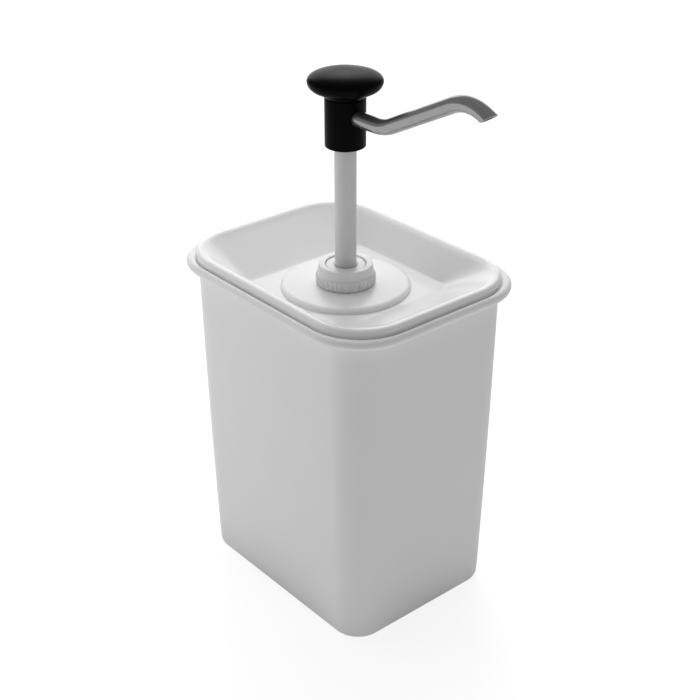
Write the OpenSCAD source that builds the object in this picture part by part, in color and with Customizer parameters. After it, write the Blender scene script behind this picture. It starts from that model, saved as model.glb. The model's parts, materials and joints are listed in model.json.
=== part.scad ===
// Sauce pump dispenser: a tub with a dished lid that carries a plunger pump.
// Millimetres, +Z up, the origin at the middle of the tub's base, the spout towards +X.

/* [Tub] */
// Outer width of the tub under its rim, along X
tub_w = 148; // [130:1:190]
// Outer depth of the tub under its rim, along Y
tub_d = 114; // [106:1:150]
// Height of the tub to the top of its rim
tub_h = 198.4; // [180:0.2:240]
// How far each wall leans in between rim and base
tub_lean = 3.4; // [0:0.2:8]
// How far each wall bulges at half its height
tub_belly = 0.5; // [0:0.1:1]
// Corner radius of the tub under its rim
tub_corner_r = 20; // [16:1:26]
// Thickness of the tub's walls
tub_wall = 2.2; // [1.6:0.1:3.6]
// Thickness of the tub's floor
tub_floor = 2.6; // [2:0.1:5]
// Rounding between base and walls, outside
base_round_r = 3.8; // [2:0.2:7]
// Rounding between floor and walls, inside
floor_round_r = 3; // [1:0.2:6]
// How far the rim stands out past the wall
rim_out = 8.3; // [7:0.1:12]
// Thickness of the rim's rounded edge
rim_t = 5.4; // [4:0.1:6.4]
// Corner radius of the rim's outer edge
rim_corner_r = 32; // [28:1:40]
// Width of the round bead that stands round the lid
bead_w = 4.1; // [3.8:0.1:4.8]
// Depth of the lid's seat below the bead's top
seat_depth = 1.9; // [1.2:0.1:1.9]

/* [Lid] */
// Gap between the lid's edge and the bead
lid_gap = 0.3; // [0.3:0.05:0.8]
// Corner radius of the lid's edge
lid_corner_r = 32; // [29:0.5:36]
// Height of the lid's crest above the bead
crest_rise = 3.7; // [3:0.1:5]
// Width of the crest, from the lid's edge to its rounded inner side
crest_w = 2.2; // [2.1:0.1:4]
// Width of the crest's rounded inner side
crest_round_w = 4; // [2:0.1:6]
// Height of the crest's rounded inner side
crest_round_h = 1.4; // [0.5:0.1:2.4]
// Rounding of the lid's outer edge
lid_edge_r = 2; // [1:0.1:2]
// Depth of the dish below the crest
dish_depth = 16; // [13:0.1:22]
// Width of the dish's flat floor, along X
dish_floor_w = 75; // [72:1:100]
// Depth of the dish's flat floor, along Y
dish_floor_d = 84; // [76:1:90]
// Corner radius of the dish's flat floor
dish_corner_r = 8; // [4:1:20]
// Thickness of the lid
lid_t = 2.4; // [1.8:0.1:3.2]
// Depth of the skirt inside the tub's mouth
skirt_depth = 8; // [4:0.5:14]
// Thickness of the skirt
skirt_t = 2; // [1.4:0.1:3]
// Gap between the skirt and the tub's wall
skirt_gap = 0.4; // [0.3:0.05:0.8]
// Diameter of the boss under the pump
boss_d = 73; // [64:1:76]
// Height of the boss above the dish's floor
boss_h = 2.7; // [2:0.1:7]
// Width of the boss's rounded shoulder
boss_round_w = 3.3; // [1:0.1:4]
// Height of the threaded neck on the boss
neck_h = 5.4; // [4:0.1:9]
// Wall of the threaded neck
neck_wall = 1.8; // [1.4:0.1:2.4]

/* [Collar nut and guide] */
// Diameter of the nut's upper part
nut_d = 30.4; // [29.6:0.2:34]
// How far the ribbed skirt stands out past the upper part
nut_flare = 1.1; // [0.6:0.1:2]
// Height of the ribbed skirt
nut_skirt_h = 5; // [3:0.1:6.4]
// Thickness of the nut's top lip
nut_lip_t = 2; // [1.4:0.1:3]
// Width of the nut's top lip outside the guide's hub
nut_mouth_d = 23; // [20.4:0.2:24]
// Number of grip ribs round the nut
rib_count = 36; // [18:1:48]
// Diameter of one grip rib
rib_d = 1.5; // [0.8:0.1:2]
// Gap between the nut's thread and the neck
thread_gap = 0.25; // [0.1:0.05:0.4]
// Gap between the nut's skirt and the boss
nut_foot_gap = 0.4; // [0.3:0.1:1]
// Thickness of the guide's flange
guide_flange_t = 1.4; // [1:0.1:2.4]
// Depth of the guide inside the barrel
guide_depth = 8; // [7:0.2:12]
// Height of the guide's hub above its flange
guide_hub_h = 1.3; // [0.6:0.1:1.8]
// Gap between the guide's hub and the nut's mouth
guide_hub_gap = 0.6; // [0.3:0.1:3]

/* [Barrel] */
// Bore of the barrel
barrel_bore_d = 18; // [17.6:0.1:18.6]
// Wall of the barrel
barrel_wall = 1.5; // [1.2:0.1:1.6]
// Gap between the barrel and the neck's bore
neck_gap = 0.3; // [0.2:0.05:0.4]
// How far the barrel's flange stands out past its wall
barrel_flange_w = 1.8; // [1.4:0.1:2]
// Thickness of the barrel's flange
barrel_flange_t = 1.6; // [1.2:0.1:2.4]
// Thickness of the gasket under that flange
gasket_t = 1; // [0.6:0.1:2]
// Running clearance of sliding pieces, on the radius
run_gap = 0.08; // [0.04:0.01:0.1]
// Clearance of plugged and pressed pieces, on the radius
plug_gap = 0.05; // [0.02:0.01:0.08]

/* [Foot valve] */
// Length of the foot's plug inside the barrel
foot_plug_l = 8; // [7:0.2:14]
// Thickness of the foot's flange under the barrel
foot_flange_t = 4; // [2:0.2:6]
// Length of the foot's nose below that flange
foot_nose_l = 18; // [16:0.5:24]
// Diameter of the foot's nose
foot_nose_d = 16; // [14.6:0.2:20]
// Depth of the dip tube's socket in the nose
dip_socket_l = 10; // [6:0.5:11]
// Length of the inlet hole between that socket and the ball's seat
inlet_hole_l = 4; // [3:0.2:6]
// Diameter of the inlet hole under the ball
inlet_hole_d = 4.4; // [3:0.1:5]
// Diameter of the inlet ball
inlet_ball_d = 7; // [6.2:0.1:8]
// Bore of the chamber round the inlet ball
inlet_chamber_d = 10; // [9.4:0.1:11]
// How far the inlet ball lifts
inlet_lift = 2.5; // [1:0.1:3]
// Wall of the cage's sleeve
cage_wall = 1.15; // [0.8:0.05:1.4]
// Thickness of the cage's flange and bar
cage_t = 1; // [0.8:0.1:1.6]
// Gap between the cage's flange and the barrel
cage_gap = 0.5; // [0.2:0.1:0.8]
// Outer diameter of the dip tube
dip_d = 10; // [8:0.2:11.6]
// Wall of the dip tube
dip_wall = 1.5; // [1:0.1:2]
// Gap between the dip tube's end and the tub's floor
dip_gap = 2.4; // [1:0.2:10]
// Slant of the dip tube's cut end, in degrees
dip_slant = 30; // [0:1:45]

/* [Plunger] */
// Travel of the plunger
stroke = 64; // [30:1:74]
// Gap between head and nut at the end of the travel
head_stop_gap = 3.4; // [1:0.1:8]
// Diameter of the stem
stem_d = 12; // [11.4:0.1:13]
// Bore of the stem
stem_bore_d = 6.5; // [6:0.1:7.6]
// Length of the piston's body
piston_l = 14.5; // [13:0.1:20]
// Gap between piston and guide at rest
piston_top_gap = 0.3; // [0.1:0.1:1]
// Depth of the stem's socket in the piston
stem_socket_l = 10; // [9:0.1:11]
// Diameter of the outlet hole under the outlet ball
outlet_hole_d = 3.8; // [3:0.1:4.2]
// Diameter of the outlet ball
outlet_ball_d = 5.2; // [5:0.1:5.4]
// How far the outlet ball lifts
outlet_lift = 2.5; // [1:0.1:3]
// Wire diameter of the return spring
spring_wire_d = 1.4; // [1:0.1:1.6]
// Mean diameter of the return spring
spring_mean_d = 14.4; // [13.8:0.1:15]
// Working turns of the return spring
spring_turns = 10; // [6:1:11]
// Length of the return spring at the end of the travel
spring_closed_l = 27; // [25:0.5:34]
// Cord diameter of the seal rings
seal_cord_d = 1.5; // [1:0.1:1.6]

/* [Head and knob] */
// Diameter of the head
head_d = 22; // [20.4:0.2:26]
// Height of the head
head_h = 26.2; // [25:0.2:34]
// Rounding of the head's lower edge
head_edge_r = 0.8; // [0.2:0.1:1.5]
// Depth of the stem's socket in the head
head_socket_l = 11.4; // [8:0.2:12]
// Height of the spout's axis above the head's lower face
spout_rise = 17.3; // [16.8:0.1:18]
// Diameter of the knob
knob_d = 40; // [32:1:52]
// Height of the knob above the head
knob_h = 13.8; // [11:0.2:18]
// Height of the knob's widest ring above the head
knob_wide_h = 8.8; // [7:0.2:9.4]
// Fullness of the knob's domed top, where 2 is an ellipse
knob_fullness = 3.4; // [2:0.1:4]
// Diameter of the knob's plug in the head
knob_plug_d = 10; // [6:0.5:14]
// Length of the knob's plug in the head
knob_plug_l = 3.6; // [2:0.1:4]
// Height of the shadow gap between knob and head
knob_seam = 0.2; // [0.1:0.05:1]
// Depth of that shadow gap
knob_seam_depth = 1.6; // [0.4:0.1:3]
// Share of the knob's overhang that its lower edge rounds
knob_under_w = 0.7; // [0.3:0.05:0.9]
// Share of the height under the widest ring that its lower edge rounds
knob_under_h = 0.62; // [0.3:0.02:0.7]

/* [Spout] */
// Outer diameter of the spout's tube
spout_d = 8.5; // [7:0.1:9]
// Wall of the spout's tube
spout_wall = 1; // [0.6:0.1:1.4]
// Where the spout's inner end stops, from the plunger's axis
spout_root = 3.6; // [3.6:0.1:5]
// Level run of the spout, from the plunger's axis to the first bend
spout_run = 23.7; // [18:0.1:40]
// Radius of the first bend
bend_up_r = 29; // [12:0.5:40]
// Climb of the spout, in degrees
climb = 26.7; // [10:0.1:45]
// Straight length of the climb
climb_l = 47; // [20:0.5:80]
// Radius of the bend at the top
bend_down_r = 24.4; // [12:0.2:40]
// Fall of the spout at its outlet, in degrees
fall = 25; // [5:0.1:60]
// Straight length at the outlet, on its short side
outlet_l = 0.4; // [0.2:0.1:10]
// Slant of the outlet's cut, in degrees
outlet_slant = 32; // [0:1:40]

/* [Hidden] */
$fn = 64;
// Steps in one corner of a rounded outline, and in one rounded edge
corner_steps = 12;
edge_steps = 5;
wall_steps = 4;
dish_steps = 3;
crest_steps = 4;
bend_steps = 7;
// Sides of the spout's tube
spout_sides = 24;
// Share of the dish's slope that is rounded at its lower end
dish_soft = 0.1;
// Share of the boss's height that its shoulder rounds
shoulder_share = 0.9;
// Overlap of cutting bodies past a face
cut = 1;
// Least wall of the collar nut
nut_least_wall = 1.4;

// Heights of the tub and lid
rim_bottom_z = tub_h - rim_t;
seat_z = tub_h - seat_depth;
crest_z = tub_h + crest_rise;
slope_z = crest_z - crest_round_h;
dish_z = crest_z - dish_depth;
boss_z = dish_z + boss_h;

// The bead is round down to the seat: the angle at which it ends, and how far out the seat and lid reach
seat_angle = asin(1 - 2 * seat_depth / rim_t);
seat_off = rim_out - bead_w / 2 * (1 + cos(seat_angle));
edge_off = seat_off - lid_gap;

// Heights of the clamped stack on the neck
neck_z = boss_z + neck_h;
gasket_z = neck_z + gasket_t;
barrel_z = gasket_z + barrel_flange_t;
guide_z = barrel_z + guide_flange_t;
nut_z = guide_z + nut_lip_t;
nut_foot_z = boss_z + nut_foot_gap;

// Radii of the pump, from its bore outwards
bore_r = barrel_bore_d / 2;
barrel_r = bore_r + barrel_wall;
barrel_flange_r = barrel_r + barrel_flange_w;
neck_bore_r = barrel_r + neck_gap;
neck_r = neck_bore_r + neck_wall;
nut_bore_r = neck_r + thread_gap;
nut_r = max(nut_d / 2, nut_bore_r + nut_least_wall);
nut_skirt_r = nut_r + nut_flare;
plug_r = bore_r - plug_gap;

// Heights of the plunger
guide_foot_z = barrel_z - guide_depth;
piston_z = guide_foot_z - piston_top_gap;
piston_foot_z = piston_z - piston_l;
stem_foot_z = piston_z - stem_socket_l + plug_gap;
head_z = nut_z + stroke + head_stop_gap;
stem_z = head_z + head_socket_l;
spout_z = head_z + spout_rise;
head_top_z = head_z + head_h;

// Radii of the plunger
stem_r = stem_d / 2;
stem_bore_r = stem_bore_d / 2;
stem_hole_r = stem_r + run_gap;
piston_r = bore_r - run_gap;
head_r = head_d / 2;
seal_r = seal_cord_d / 2;
seal_groove_w = seal_cord_d + 2 * plug_gap;
stem_seal_groove_r = stem_r + seal_cord_d + 2 * plug_gap;

// Gap that keeps resting pieces off their seats
seat_gap = 0.03;

// The spring stands on the cage's flange, and the foot hangs below it
spring_z = piston_foot_z - stroke - spring_closed_l;
foot_top_z = spring_z - cage_t;
barrel_foot_z = foot_top_z - foot_plug_l;
nose_z = barrel_foot_z - foot_flange_t;
nose_foot_z = nose_z - foot_nose_l;
dip_top_z = nose_foot_z + dip_socket_l;
inlet_seat_z = dip_top_z + inlet_hole_l;

// Return spring, with a flatter closed turn at each end, and the piston's boss inside it
spring_mean_r = spring_mean_d / 2;
spring_turn_gap = 0.5;
spring_end_pitch = spring_wire_d + spring_turn_gap;
spring_foot_z = spring_z + spring_wire_d / 2 + seat_gap;
spring_head_z = piston_foot_z - spring_wire_d / 2 - seat_gap;
spring_pitch = (spring_head_z - spring_foot_z - 2 * spring_end_pitch) / spring_turns;
spring_boss_l = 3;
spring_boss_gap = 0.4;
spring_boss_r = spring_mean_r - spring_wire_d / 2 - spring_boss_gap;

// Balls rest on 45 degree seats
inlet_ball_r = inlet_ball_d / 2;
inlet_chamber_r = inlet_chamber_d / 2;
inlet_ball_z = inlet_seat_z - inlet_hole_d / 2 + inlet_ball_r * sqrt(2) + seat_gap;
cage_bar_z = inlet_ball_z + inlet_ball_r + inlet_lift + seat_gap;
outlet_chamber_z = stem_foot_z - plug_gap;
outlet_chamber_l = 1;
outlet_seat_z = outlet_chamber_z - (stem_bore_r - outlet_hole_d / 2) - outlet_chamber_l;
outlet_ball_r = outlet_ball_d / 2;
outlet_ball_z = outlet_seat_z - outlet_hole_d / 2 + outlet_ball_r * sqrt(2) + seat_gap;
stop_rib_r = stem_bore_r / 2;
stop_rib_z = outlet_ball_z + outlet_lift + sqrt(outlet_ball_r ^ 2 - stop_rib_r ^ 2) + seat_gap;
stop_rib_t = 1.2;
stop_rib_l = 6;

// Snap bead that holds the stem in the piston and lets it turn
snap_rise = 2.6;
snap_z = stem_foot_z + snap_rise;
snap_t = 1.2;
snap_depth = 0.5;

// Seals: rings of round cord in grooves, and a cup seal on the piston
wiper_z = (guide_foot_z + barrel_z) / 2;
foot_seal_z = barrel_foot_z + foot_plug_l / 2;
foot_seal_r = plug_r - seal_cord_d + plug_gap / 2;
head_seal_z = head_z + head_socket_l / 3;
cup_h = 2.4;
cup_w = 1.5;
cup_land = 1.6;
cup_z = piston_z - cup_land - cup_h;
cup_groove_r = piston_r - cup_w;

// Dip tube
dip_r = dip_d / 2;
dip_foot_z = tub_floor + dip_gap;

// Spout, along its axis in the XZ plane
spout_r = spout_d / 2;
spout_bore_r = spout_r - spout_wall;
climb_start = [spout_run + bend_up_r * sin(climb), spout_z + bend_up_r * (1 - cos(climb))];
climb_end = climb_start + climb_l * [cos(climb), sin(climb)];
bend_down_at = climb_end + bend_down_r * [sin(climb), -cos(climb)];
outlet_start = bend_down_at + bend_down_r * [sin(fall), cos(fall)];
outlet_at = outlet_start + (outlet_l + spout_r * tan(outlet_slant)) * [cos(fall), -sin(fall)];
spout_seal_x = (spout_root + head_r) / 2;

white = [0.86, 0.86, 0.86];
pump_white = [0.90, 0.90, 0.90];
stem_white = [0.80, 0.80, 0.80];
black = [0.03, 0.03, 0.03];
steel = [0.62, 0.62, 0.61];
seal_grey = [0.25, 0.25, 0.26];

// Points of a rounded rectangle at height z, anticlockwise from +X
function rounded_ring(w, d, r, z) = [
    for (corner = [0:3])
        let (side_x = corner == 0 || corner == 3 ? 1 : -1)
        let (side_y = corner < 2 ? 1 : -1)
        for (k = [0:corner_steps])
            let (a = 90 * (corner + k / corner_steps))
            [side_x * (w / 2 - r) + r * cos(a), side_y * (d / 2 - r) + r * sin(a), z]
];

// Points of an arc in the plane of a turned profile
function arc(cx, cz, rx, rz, from, to, steps) = [
    for (k = [0:steps])
        let (a = from + (to - from) * k / steps)
        [cx + rx * cos(a), cz + rz * sin(a)]
];

// A solid between rings of equal count. The first ring closes it below and the last one above, or
// the last ring joins the first where the rings go round
module loft(rings, round = false) {
    n = len(rings[0]);
    count = len(rings);
    points = [for (ring = rings) for (p = ring) p];
    sides = [
        for (i = [0:count - (round ? 1 : 2)])
            let (next = (i + 1) % count)
            for (j = [0:n - 1])
                let (k = (j + 1) % n)
                each [[i * n + j, next * n + j, next * n + k], [i * n + j, next * n + k, i * n + k]]
    ];
    below = [for (j = [0:n - 1]) j];
    above = [for (j = [0:n - 1]) count * n - 1 - j];
    polyhedron(points, round ? sides : concat([below], sides, [above]));
}

// A straight tube from z0 to z1
module tube(r_out, r_in, z0, z1) {
    translate([0, 0, z0])
        difference() {
            cylinder(h = z1 - z0, r = r_out);
            translate([0, 0, -cut])
                cylinder(h = z1 - z0 + 2 * cut, r = r_in);
        }
}

module rod(r, z0, z1) {
    translate([0, 0, z0])
        cylinder(h = z1 - z0, r = r);
}

// A ring of round cord about the Z axis
module cord_ring(inner_r, z) {
    translate([0, 0, z])
        rotate_extrude()
            translate([inner_r + seal_r, 0])
                circle(r = seal_r);
}

// How far the tub's wall lies in at height z: it leans, and bulges a little at half its height
function lean(z) =
    let (share = z / rim_bottom_z)
    (tub_lean - 4 * tub_belly * share) * (1 - share);

// A ring of the tub, out past the wall's top by off
function tub_ring(off, z) = rounded_ring(tub_w + 2 * off, tub_d + 2 * off, tub_corner_r + off, z);

// Corner radius of such a ring of the rim or lid: the lid's corners are rounder than the rim's
function rim_corner(off) =
    off < edge_off ? lid_corner_r - edge_off + off
    : lid_corner_r + (rim_corner_r - lid_corner_r) * (off - edge_off) / (rim_out - edge_off);

// A ring of the rim and lid's edge, out past the wall's top by off
function rim_ring(off, z) = rounded_ring(tub_w + 2 * off, tub_d + 2 * off, rim_corner(off), z);

module container() {
    bead_r = bead_w / 2;
    bead_end = 180 - seat_angle;
    bead = arc(rim_out - bead_r, tub_h - rim_t / 2, bead_r, rim_t / 2, -90, bead_end, 3 * edge_steps);
    base_edge = arc(-lean(0) - base_round_r, base_round_r, base_round_r, base_round_r, -90, 0, edge_steps);
    floor_off = -tub_wall - lean(tub_floor + floor_round_r) - floor_round_r;
    floor_edge = arc(floor_off, tub_floor + floor_round_r, floor_round_r, floor_round_r, 0, -90, edge_steps);
    wall_z = [for (k = [1:wall_steps - 1]) rim_bottom_z * k / wall_steps];
    color(white)
        loft(concat(
            [for (p = base_edge) tub_ring(p[0], p[1])],
            [for (z = wall_z) tub_ring(-lean(z), z)],
            [tub_ring(0, rim_bottom_z)],
            [for (p = bead) rim_ring(p[0], p[1])],
            [tub_ring(-tub_wall, seat_z), tub_ring(-tub_wall, rim_bottom_z)],
            [for (k = [wall_steps - 2:-1:0]) tub_ring(-tub_wall - lean(wall_z[k]), wall_z[k])],
            [for (p = floor_edge) tub_ring(p[0], p[1])]
        ));
}

// Fall of the dish at share t of its slope, from 0 under the crest to 1 at the floor
function dish_fall(t) =
    let (fall = dish_depth - crest_round_h)
    let (steep = fall / (1 - dish_soft / 2))
    t > 1 - dish_soft ? fall - steep * (1 - t) ^ 2 / (2 * dish_soft) : steep * t;

// Shares of the slope that have a ring from share t0 on: the straight part, then the rounded end
function dish_shares(t0) = concat(
    [for (k = [0:dish_steps]) t0 + (1 - dish_soft - t0) * k / dish_steps],
    [1 - dish_soft / 2, 1]
);

// A ring of the dish at share t of its slope, lowered by drop
function dish_ring(t, drop) =
    let (top_off = edge_off - crest_w - crest_round_w)
    let (top_r = rim_corner(top_off))
    let (w = tub_w + 2 * top_off)
    let (d = tub_d + 2 * top_off)
    rounded_ring(w + t * (dish_floor_w - w), d + t * (dish_floor_d - d),
                 top_r + t * (dish_corner_r - top_r), slope_z - dish_fall(t) - drop);

module lid_shell() {
    crest_off = edge_off - crest_w;
    slope_off = crest_off - crest_round_w;
    skirt_off = -tub_wall - skirt_gap - lean(seat_z - skirt_depth);
    inner_off = skirt_off - skirt_t;
    // Share of the slope at which the dish has cleared the skirt
    start_w = (slope_off - inner_off) / (tub_w / 2 + slope_off - dish_floor_w / 2);
    start_d = (slope_off - inner_off) / (tub_d / 2 + slope_off - dish_floor_d / 2);
    start = max(start_w, start_d, 0) + 0.03;
    edge = arc(edge_off - lid_edge_r, crest_z - lid_edge_r, lid_edge_r, lid_edge_r, 0, 90, edge_steps);
    crest = [for (k = [0:crest_steps]) k / crest_steps];
    above = dish_shares(0);
    below = dish_shares(start);
    loft(concat(
        [for (k = [len(below) - 1:-1:0]) dish_ring(below[k], lid_t)],
        [tub_ring(inner_off, slope_z - dish_fall(start) - lid_t)],
        [tub_ring(inner_off, seat_z - skirt_depth), tub_ring(skirt_off, seat_z - skirt_depth)],
        [tub_ring(skirt_off, seat_z), rim_ring(edge_off, seat_z)],
        [for (p = edge) rim_ring(p[0], p[1])],
        [for (t = crest) rim_ring(crest_off - crest_round_w * t, crest_z - crest_round_h * t ^ 2)],
        [for (k = [1:len(above) - 1]) dish_ring(above[k], 0)]
    ));
}

module lid() {
    boss_r = boss_d / 2;
    shoulder_h = boss_h * shoulder_share;
    shoulder = arc(boss_r - boss_round_w, boss_z - shoulder_h, boss_round_w, shoulder_h, 0, 90, 8);
    boss = concat([[0, dish_z - lid_t / 2], [boss_r, dish_z - lid_t / 2]], shoulder, [[0, boss_z]]);
    hollow_r = boss_r - boss_round_w - lid_t;
    stub_r = neck_r + neck_wall;
    color(white)
        difference() {
            union() {
                lid_shell();
                rotate_extrude()
                    polygon(boss);
                rod(neck_r, dish_z, neck_z);
            }
            tube(hollow_r, stub_r, dish_z - lid_t - cut, boss_z - lid_t);
            rod(neck_bore_r, dish_z - lid_t - cut, neck_z + cut);
        }
}

module collar_nut() {
    chamfer = 0.9;
    skirt_z = nut_foot_z + nut_skirt_h;
    profile = [
        [nut_bore_r, nut_foot_z], [nut_skirt_r, nut_foot_z], [nut_skirt_r, skirt_z],
        [nut_r, skirt_z + nut_flare], [nut_r, nut_z - chamfer], [nut_r - chamfer, nut_z],
        [nut_mouth_d / 2, nut_z], [nut_mouth_d / 2, guide_z], [nut_bore_r, guide_z]
    ];
    color(pump_white)
        union() {
            rotate_extrude()
                polygon(profile);
            for (k = [0:rib_count - 1])
                rotate([0, 0, 360 * k / rib_count])
                    translate([nut_skirt_r - rib_d / 5, 0, 0])
                        rod(rib_d / 2, nut_foot_z, skirt_z);
        }
}

module stem_guide() {
    chamfer = 0.8;
    hub_z = guide_z + guide_hub_h;
    hub_r = nut_mouth_d / 2 - guide_hub_gap;
    profile = [
        [stem_hole_r, guide_foot_z], [plug_r, guide_foot_z], [plug_r, barrel_z],
        [barrel_flange_r, barrel_z], [barrel_flange_r, guide_z], [hub_r, guide_z],
        [hub_r, hub_z], [stem_hole_r + chamfer, hub_z], [stem_hole_r, hub_z - chamfer]
    ];
    color(pump_white)
        difference() {
            rotate_extrude()
                polygon(profile);
            rod(stem_seal_groove_r, wiper_z - seal_groove_w / 2, wiper_z + seal_groove_w / 2);
        }
}

module stem_wiper() {
    color(seal_grey)
        cord_ring(stem_r + plug_gap, wiper_z);
}

module barrel() {
    color(pump_white)
        difference() {
            union() {
                rod(barrel_r, barrel_foot_z, barrel_z);
                rod(barrel_flange_r, gasket_z, barrel_z);
            }
            rod(bore_r, barrel_foot_z - cut, barrel_z + cut);
        }
}

module barrel_gasket() {
    color(seal_grey)
        tube(barrel_flange_r, barrel_r + plug_gap, neck_z, gasket_z);
}

module inlet_foot() {
    seat_h = inlet_chamber_r - inlet_hole_d / 2;
    color(pump_white)
        difference() {
            union() {
                rod(plug_r, nose_z, foot_top_z);
                rod(barrel_r, nose_z, barrel_foot_z);
                rod(foot_nose_d / 2, nose_foot_z, nose_z + cut);
            }
            rod(dip_r + plug_gap, nose_foot_z - cut, dip_top_z);
            rod(inlet_hole_d / 2, dip_top_z - cut, inlet_seat_z + cut);
            translate([0, 0, inlet_seat_z])
                cylinder(h = seat_h, r1 = inlet_hole_d / 2, r2 = inlet_chamber_r);
            rod(inlet_chamber_r, inlet_seat_z + seat_h, foot_top_z + cut);
            tube(plug_r + cut, foot_seal_r - plug_gap,
                 foot_seal_z - seal_groove_w / 2, foot_seal_z + seal_groove_w / 2);
        }
}

module foot_o_ring() {
    color(seal_grey)
        cord_ring(foot_seal_r, foot_seal_z);
}

module inlet_ball() {
    color(steel)
        translate([0, 0, inlet_ball_z])
            sphere(r = inlet_ball_r);
}

module ball_cage() {
    sleeve_r = inlet_chamber_r - plug_gap;
    sleeve_bore_r = sleeve_r - cage_wall;
    color(pump_white)
        union() {
            tube(bore_r - cage_gap, sleeve_bore_r, foot_top_z, spring_z);
            tube(sleeve_r, sleeve_bore_r, cage_bar_z, foot_top_z + cage_t / 2);
            translate([-sleeve_bore_r - cage_wall / 2, -cage_t / 2, cage_bar_z])
                cube([2 * sleeve_bore_r + cage_wall, cage_t, cage_t]);
        }
}

module dip_tube() {
    color(pump_white)
        difference() {
            tube(dip_r, dip_r - dip_wall, dip_foot_z, dip_top_z - plug_gap);
            translate([dip_r, 0, dip_foot_z])
                rotate([0, dip_slant, 0])
                    translate([-4 * dip_d, -dip_d, -2 * dip_d])
                        cube([5 * dip_d, 2 * dip_d, 2 * dip_d]);
        }
}

// Height of the spring's wire after some turns: the closed turn at each end is flatter
function spring_at(turn) =
    spring_foot_z
    + min(turn, 1) * spring_end_pitch
    + min(max(turn - 1, 0), spring_turns) * spring_pitch
    + max(turn - 1 - spring_turns, 0) * spring_end_pitch;

module return_spring() {
    sides = 6;
    rings_per_turn = 12;
    wire_r = spring_wire_d / 2;
    wire = [
        for (k = [0:(spring_turns + 2) * rings_per_turn])
            let (a = 360 * k / rings_per_turn)
            [
                for (s = [0:sides - 1])
                    let (b = 360 * s / sides)
                    let (r = spring_mean_r + wire_r * cos(b))
                    [r * cos(a), r * sin(a), spring_at(k / rings_per_turn) + wire_r * sin(b)]
            ]
    ];
    color(steel)
        loft(wire);
}

module piston() {
    seat_h = stem_bore_r - outlet_hole_d / 2;
    color(pump_white)
        difference() {
            union() {
                rod(piston_r, piston_foot_z, piston_z);
                rod(spring_boss_r, piston_foot_z - spring_boss_l, piston_foot_z + cut);
            }
            rod(outlet_hole_d / 2, piston_foot_z - spring_boss_l - cut, outlet_seat_z + cut);
            translate([0, 0, outlet_seat_z])
                cylinder(h = seat_h, r1 = outlet_hole_d / 2, r2 = stem_bore_r);
            rod(stem_bore_r, outlet_seat_z + seat_h, outlet_chamber_z + cut);
            difference() {
                rod(stem_hole_r, outlet_chamber_z, piston_z + cut);
                tube(stem_hole_r + cut, stem_r - snap_depth, snap_z, snap_z + snap_t);
            }
            tube(piston_r + cut, cup_groove_r, cup_z, cup_z + cup_h);
        }
}

module piston_seal() {
    outer_r = bore_r - run_gap / 2;
    inner_r = cup_groove_r + plug_gap;
    low_z = cup_z + plug_gap;
    high_z = cup_z + cup_h - plug_gap;
    middle_r = (outer_r + inner_r) / 2;
    notch_w = (outer_r - inner_r) / 4;
    profile = [
        [inner_r, low_z], [outer_r, low_z], [outer_r, high_z], [middle_r + notch_w, high_z],
        [middle_r, (low_z + high_z) / 2], [middle_r - notch_w, high_z], [inner_r, high_z]
    ];
    color(seal_grey)
        rotate_extrude()
            polygon(profile);
}

module outlet_ball() {
    color(steel)
        translate([0, 0, outlet_ball_z])
            sphere(r = outlet_ball_r);
}

module stem() {
    snap_groove_r = stem_r - snap_depth - run_gap;
    color(stem_white)
        union() {
            difference() {
                rod(stem_r, stem_foot_z, stem_z);
                rod(stem_bore_r, stem_foot_z - cut, stem_z + cut);
                tube(stem_r + cut, snap_groove_r, snap_z - run_gap, snap_z + snap_t + run_gap);
            }
            for (k = [0:2])
                rotate([0, 0, 120 * k])
                    translate([stop_rib_r, -stop_rib_t / 2, stop_rib_z])
                        cube([stem_bore_r + 1 - stop_rib_r, stop_rib_t, stop_rib_l]);
        }
}

module head_o_ring() {
    color(seal_grey)
        cord_ring(stem_r + plug_gap, head_seal_z);
}

// A rod along +X at the height of the spout's axis
module cross_rod(r, x0, x1) {
    translate([x0, 0, spout_z])
        rotate([0, 90, 0])
            cylinder(h = x1 - x0, r = r);
}

module pump_head() {
    edge_z = head_z + head_edge_r;
    lower_edge = arc(head_r - head_edge_r, edge_z, head_edge_r, head_edge_r, -90, 0, edge_steps);
    spout_groove_r = spout_r + seal_cord_d + 2 * plug_gap;
    color(black)
        difference() {
            rotate_extrude()
                polygon(concat([[0, head_z]], lower_edge, [[head_r, head_top_z], [0, head_top_z]]));
            rod(stem_r + plug_gap, head_z - cut, stem_z + plug_gap);
            rod(stem_seal_groove_r, head_seal_z - seal_groove_w / 2, head_seal_z + seal_groove_w / 2);
            rod(stem_bore_r, stem_z - cut, spout_z);
            cross_rod(spout_bore_r, -stem_bore_r / 2, spout_root + cut);
            cross_rod(spout_r + plug_gap, spout_root - plug_gap, head_r + cut);
            cross_rod(spout_groove_r, spout_seal_x - seal_groove_w / 2, spout_seal_x + seal_groove_w / 2);
            rod(knob_plug_d / 2 + plug_gap, head_top_z - knob_plug_l - plug_gap, head_top_z + cut);
        }
}

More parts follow.
